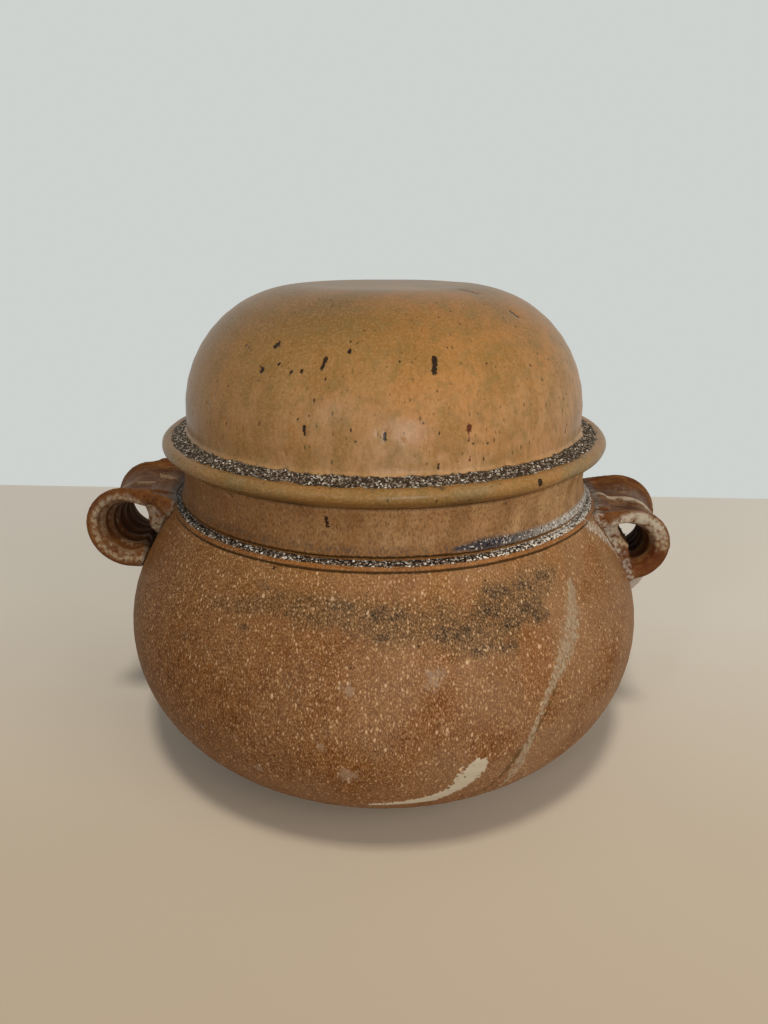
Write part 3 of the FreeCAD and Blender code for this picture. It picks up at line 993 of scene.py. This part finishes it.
def height_of(where):
    """The height in millimetres, for colours that are graded by it."""
    tree = where.id_data
    split = add(tree, "SeparateXYZ", {0: where})
    in_mm = {0: split.outputs["Z"], 1: 1 / MM}
    return add(tree, "Math", in_mm, operation="MULTIPLY").outputs[0]


def ash_grains(where, size, whiteness):
    """Black, brown, grey and white grains, whiter where the ash is pale."""
    tree = where.id_data
    cells = add(tree, "TexVoronoi", {"Vector": where, "Scale": 1 / (size * MM)})
    lot = add(tree, "SeparateColor", {0: cells.outputs["Color"]}).outputs[0]
    whiter = add(tree, "Math", {0: whiteness, 1: 0.4}, operation="MULTIPLY")
    lot = add(tree, "Math", {0: lot, 1: whiter.outputs[0]}, operation="ADD").outputs[0]
    return graded(lot, [(0, "#100d0c"), (0.45, "#2c241d"), (0.7, "#5a4f42"),
                              (0.88, "#9b9080"), (0.97, "#e2dbcd"), (1.4, "#d9d3c6")])


def pot_glaze(tree, where):
    drawn = add(tree, "Mapping", {"Vector": where, "Scale": (1, 1, 0.5)}).outputs[0]
    mark = painted(tree, "ash", "pool", "haze", "pale_ash", "run", "run_edge", "slip", "smear",
                   "patches", "smudges", "frost", "soot", "shade", "olive", "iron", "crack")
    right = add(tree, "Math", {0: 1.0, 1: mark.shade}, operation="SUBTRACT").outputs[0]
    ground = graded(height_of(where), [
        (0, "#5d3312"), (30, "#653814"), (60, "#5d3211"), (85, "#603613"), (104, "#6f461e"),
        (115, "#855c2b"), (118.4, "#97602c"), (120.6, "#7d5727"), (126, "#b38f62"),
        (140, "#ac8b60")])
    pool_glass = graded(mark.pale_ash, [
        (0, "#3a3a40"), (0.2, "#1f2636"), (0.45, "#45474c"), (0.7, "#857f75"), (1, "#a8a297")])
    grain = ash_grains(where, GRAIN, mark.pale_ash)
    fine = clouds(where, 0.55, 0.5, 0.07, 1)
    coarse = clouds(drawn, 0.9, 0.47, 0.1, 2)
    streaks = add(tree, "Mapping", {"Vector": where, "Scale": (1, 1, 0.09)}).outputs[0]
    streaks = clouds(streaks, 1.1, 0.54, 0.1, 2)
    layers = [
        ("#83501f", 0.3, clouds(where, 34, 0.5, 0.12)),
        ("#552c10", 0.45, clouds(drawn, 13, 0.54, 0.1)),
        # painted shade: the left and back darker and browner, with faint streaks there
        ("#452503", 0.72, mark.shade),
        ("#75491a", 0.4, mark.shade, streaks),
        ("#87582b", 0.3, clouds(drawn, 3, 0.5, 0.12)),
        ("#43240d", 0.5, clouds(drawn, 0.7, 0.55, 0.1)),
        # pale grey haze on the right: partly ash over the speckle, partly painted sheen
        ("#866a50", 0.5, mark.frost, right, clouds(where, 22, 0.45, 0.2)),
        ("#41351f", 0.42, broken(drawn, mark.soot, 7, 0.6, 0.1, 1.0)),
        ("#30291c", 0.42, broken(drawn, mark.soot, 4, 0.7, 0.3, 1.1), coarse),
        ("#453b2d", 0.45, broken(drawn, mark.smudges, 4, 0.45, 0.2, 1.0)),
        ("#92806e", 0.5, broken(drawn, mark.patches, 2, 0.5, 0.4, 0.9)),
        ("#a37d55", 0.6, clouds(drawn, 0.5, 0.54, 0.09, 2), mark.frost),
        *[(colour, cover, spots(drawn, spacing, radius, kept, 0.4), mark.frost)
          for colour, cover, spacing, radius, kept in DOTS],
        ("#1c1b1b", 0.8, broken(drawn, mark.smudges, 2.2, 0.6, 0.5, 1.1), fine),
        ("#453417", 0.6, broken(drawn, mark.run_edge, 2, 0.3)),
        ("#a39379", 0.9, broken(drawn, mark.run, 1.4, 0.8, 0.3, 1.1), coarse),
        ("#85725a", 0.45, broken(drawn, mark.run, 1.2, 0.7, 0.3, 1.1)),
        ("#b5aa93", 0.92, broken(where, mark.slip, 1.6, 0.5)),
        ("#b3ab9c", 0.92, broken(where, mark.smear, 1.6, 0.9, 0.3, 0.8), coarse),
        ("#2a1409", 0.85, spots(drawn, 6, 0.5, 0.4)),
        ("#3a220d", 0.8, spots(drawn, 3, 0.3, 0.35)),
        ("#33240d", 0.85, broken(where, mark.olive, 1.5, 0.35)),
        ("#4e4339", 0.65, mark.haze, clouds(where, 3, 0.45, 0.15), coarse),
        (pool_glass, 0.94, mark.pool),
        (grain, 0.8, mark.pool, clouds(where, 1.2, 0.5, 0.08)),
        (grain, 0.96, broken(where, mark.ash, 1.2, 0.45)),
        ("#190c07", 0.95, broken(where, mark.iron, 0.6, 0.12, 0.6, 0.72)),
        ("#120804", 0.95, broken(where, mark.crack, 0.6, 0.06, 0.6, 0.7)),
    ]
    colour = layered(tree, ground, layers)
    return colour, mark.pool, (0.5, 0.28), (0.9, 0.4, 0.12)


pot_piece.data.materials.append(glaze("wood_ash_on_iron_stoneware", 0.06, pot_glaze))

# %% [markdown]
# ## The lid's glaze: a tan satin glaze, spotted with iron
#
# The lid was glazed, so it is smoother, yellower and a little glossier than the pot.
# Specks of iron in the clay bleed through as small brown ticks, drawn out by gravity
# where the dome is steep, and the ash adds soft grey-green blotches. A few
# large iron spots have burst to black: they are placed one by one, as on the object.

# %% Lid glaze
def lid_glaze(tree, where):
    drawn = add(tree, "Mapping", {"Vector": where, "Scale": (1, 1, 0.42)}).outputs[0]
    mark = painted(tree, "ash", "iron", "red", "blotchy", "shade")
    # the dark at 141.5 mm, under the rolled edge, is partly thick glaze and partly painted shadow
    ground = graded(height_of(where), [
        (132, "#5c4020"), (141.5, "#40300f"), (143.6, "#604c28"), (146.5, "#7d6b48"),
        (148.3, "#846a43"), (149.4, "#8f5d28"), (151, "#ad8961"), (160, "#a68159"),
        (175, "#a37c50"), (190, "#946f40"), (203, "#7a5a2e"), (212, "#6c522e")])
    # pits with a dark rim and a pale middle
    rim, middle = (spots(where, 10, radius, 0.4) for radius in (1.0, 0.55))
    layers = [
        ("#a86f34", 0.45, clouds(where, 30, 0.5, 0.12)),
        ("#7c5d2c", 0.5, clouds(drawn, 8, 0.54, 0.1)),
        # painted shade on the left and back of the dome
        ("#5c4014", 0.5, mark.shade),
        ("#7a5627", 0.35, clouds(drawn, 1.4, 0.54, 0.12, 2)),
        ("#b08c60", 0.25, clouds(where, 0.9, 0.56, 0.1, 1)),
        ("#6d5f38", 0.3, clouds(where, 5, 0.58, 0.07, 5), mark.blotchy),
        ("#54401e", 0.85, spots(drawn, 1.7, 0.36, 0.4, 0.3)),
        ("#453d1d", 0.8, spots(drawn, 3.4, 0.6, 0.45, 0.3)),
        ("#331d0b", 0.92, spots(drawn, 4.4, 0.52, 0.6)),
        ("#565136", 0.7, spots(where, 6, 1.3, 0.4, 0.1), mark.blotchy,
         clouds(where, 0.9, 0.5, 0.1, 1)),
        ("#2c160b", 0.9, spots(where, 6, 0.5, 0.5)),
        ("#4c3c22", 0.8, rim),
        ("#bda884", 0.9, middle),
        ("#3d3426", 0.7, broken(where, mark.ash, 3, 0.5, 0.1, 0.6)),
        (ash_grains(where, GRAIN, -0.1), 0.85,
         broken(where, mark.ash, 1.4, 0.5, 0.35, 0.8)),
        ("#4a1a0c", 0.92, broken(where, mark.red, 0.8, 0.16, 0.6, 0.74)),
        ("#170c07", 0.95, broken(where, mark.iron, 0.8, 0.16, 0.6, 0.72)),
    ]
    colour = layered(tree, ground, layers)
    return colour, mark.ash, (0.33, 0.7), (1.4, 0.3, 0.12)


lid_piece.data.materials.append(glaze("tan_glaze_with_iron_spots", 0.17, lid_glaze))

# %% [markdown]
# ## The handles' glaze: thin ash glaze that breaks on edges
#
# The same glaze lies thinner on the handles, so they are redder. Where it ran off the
# crests and lips it breaks to a pale line, and it gathers grey in the slip round the
# joints. On the crests that pale line is partly painted highlight, and the finger grooves
# are darkened as painted shade. Inside the loops the clay is painted dark, most of all
# deep inside: painted shade.

# %% Handle glaze
def handle_glaze(tree, where):
    round_loop = add(tree, "Mapping", {"Vector": where, "Scale": (0.3, 1.4, 0.3)}).outputs[0]
    mark = painted(tree, "crest", "groove", "ring", "lip", "pale_lip", "joint", "inside", "deep",
                   "bare", "white", "foot")
    shallow, covered, dull = (
        add(tree, "Math", {0: 1.0, 1: getattr(mark, name)}, operation="SUBTRACT").outputs[0]
        for name in ("deep", "bare", "white"))
    seam = add(tree, "MapRange", {"Value": mark.joint, "From Min": 0.9, "From Max": 0.96})
    patchy = clouds(where, 1.6, 0.5, 0.16, 4)
    layers = [
        ("#74491f", 0.6, clouds(where, 9, 0.5, 0.1)),
        ("#43210e", 0.6, clouds(round_loop, 2.6, 0.52, 0.08)),
        ("#84603a", 0.4, clouds(round_loop, 1.6, 0.56, 0.08)),
        # painted shade in the finger grooves
        ("#3a1d0b", 0.65, mark.groove, clouds(round_loop, 5, 0.45, 0.15)),
        # painted shade deep inside the loop
        ("#3a1c0d", 0.85, mark.inside, mark.deep),
        ("#4f2612", 0.75, mark.inside, shallow, clouds(where, 3.2, 0.5, 0.1)),
        # pale on the ring ridges: partly the glaze thin there, partly painted highlight
        ("#8f7452", 0.6, mark.inside, mark.ring),
        # the pale crest line: partly the glaze breaking thin, partly painted highlight
        ("#7c5c34", 0.5, broken(where, mark.crest, 3, 0.5, 0.2, 1.0)),
        ("#a89985", 0.85, broken(where, mark.crest, 3, 0.5, 0.2, 1.0),
         mark.white),
        ("#5a2f1a", 0.7, mark.lip, clouds(where, 2.0, 0.5, 0.1)),
        ("#9a8769", 0.85, broken(where, mark.pale_lip, 2.5, 0.3, 0.3, 0.9), patchy),
        ("#b3aa97", 0.8, mark.pale_lip, mark.white, covered,
         clouds(where, 2.6, 0.47, 0.12, 4)),
        ("#6a5f4a", 0.6, broken(where, mark.joint, 2.5, 0.4, 0.5, 0.9), dull),
        ("#9e9585", 0.8, broken(where, mark.joint, 2.5, 0.5, 0.4, 0.9),
         mark.white, patchy),
        ("#b0a797", 0.85, broken(where, mark.foot, 2, 0.4, 0.3, 0.8)),
        ("#160a05", 0.9, seam.outputs[0], dull),
        ("#1d0e08", 0.85, spots(where, 3.6, 0.55, 0.4)),
    ]
    colour = layered(tree, linear("#5f3b1b"), layers)
    return colour, mark.inside, (0.42, 0.8), (1.2, 0.4, 0.15)


thin_ash = glaze("thin_ash_glaze_on_red_clay", 0.08, handle_glaze)
for piece in handle_pieces.values():
    piece.data.materials.append(thin_ash)

# %% [markdown]
# ## The floor, the air and the lamps
#
# Soft daylight, mostly from above. A floor that ends behind the pot gives the horizon;
# it is painted darker in front and lighter towards the back, as painted light. The world
# gives the pale air behind it. The world has two strengths: what the camera and the
# gloss see, and what lights the clay.

# %% Studio
FLOOR_BACK = 346 * MM
FLOOR_REACH = 1600 * MM

floor_bm = bmesh.new()
bmesh.ops.create_grid(floor_bm, x_segments=1, y_segments=1, size=FLOOR_REACH)
bmesh.ops.translate(floor_bm, verts=floor_bm.verts, vec=(0, FLOOR_BACK - FLOOR_REACH, 0))
floor_mesh = bpy.data.meshes.new("floor")
floor_bm.to_mesh(floor_mesh)
floor_bm.free()
floor = bpy.data.objects.new("floor", floor_mesh)
bpy.context.scene.collection.objects.link(floor)

floor_paint = bpy.data.materials.new("floor_with_painted_light")
floor_paint.use_nodes = True
floor_shader = floor_paint.node_tree.nodes["Principled BSDF"]
floor_tree = floor_paint.node_tree
floor_where = add(floor_tree, "TexCoord").outputs["Object"]
floor_depth = add(floor_tree, "SeparateXYZ", {0: floor_where}).outputs["Y"]
# painted light: the floor darker in front and lighter towards the back
floor_tree.links.new(graded(floor_depth, [
    (-0.3, "#b5a087"), (-0.1, "#c8baa4"), (0.1, "#dfd8ca"), (0.35, "#e8e3d8")]),
    floor_shader.inputs["Base Color"])
floor_shader.inputs["Roughness"].default_value = 0.9
floor_mesh.materials.append(floor_paint)

world = bpy.data.worlds.new("pale_air")
world.use_nodes = True
bpy.context.scene.world = world
air = world.node_tree
air.nodes.clear()
rays = add(air, "LightPath")
seen = add(air, "Math", {0: rays.outputs["Is Camera Ray"], 1: rays.outputs["Is Glossy Ray"]},
           operation="MAXIMUM")
seen = add(air, "Math", {0: seen.outputs[0], 1: rays.outputs["Is Transmission Ray"]},
           operation="MAXIMUM")
lighting = add(air, "Background", {"Color": linear("#fcf9f4"), "Strength": 0.25})
backdrop = add(air, "Background", {"Color": linear("#ced2cf"), "Strength": 1.0})
both = add(air, "MixShader", {0: seen.outputs[0], 1: lighting.outputs[0], 2: backdrop.outputs[0]})
add(air, "OutputWorld", {"Surface": both.outputs[0]})


def lamp(name, azimuth, elevation, distance, size, watts, colour, mirrored=True):
    """A square area lamp that faces the pot's middle. Azimuth 0 is the front. A lamp
    that isn't mirrored lights the clay but leaves no highlight in the glaze."""
    light = bpy.data.lights.new(name, "AREA")
    light.size = size
    light.energy = watts
    light.color = linear(colour)[:3]
    stand = bpy.data.objects.new(name, light)
    bpy.context.scene.collection.objects.link(stand)
    a, e = math.radians(azimuth), math.radians(elevation)
    way = Vector((math.sin(a) * math.cos(e), -math.cos(a) * math.cos(e), math.sin(e)))
    stand.location = Vector((0, 0, 0.1)) + way * distance
    stand.rotation_euler = way.to_track_quat("Z", "Y").to_euler()
    stand.visible_glossy = mirrored


lamp("skylight", 3, 71, 2.4, 0.34, 24.5, "#fff8ee", mirrored=False)
lamp("fill", 50, 24, 1.4, 0.8, 5.6, "#fff8f0", mirrored=False)
lamp("window", 14, 7, 1.1, 0.18, 3.8, "#f4f5fb")
lamp("far_window", -25, 23, 1.2, 0.11, 1.2, "#f2f5ff")
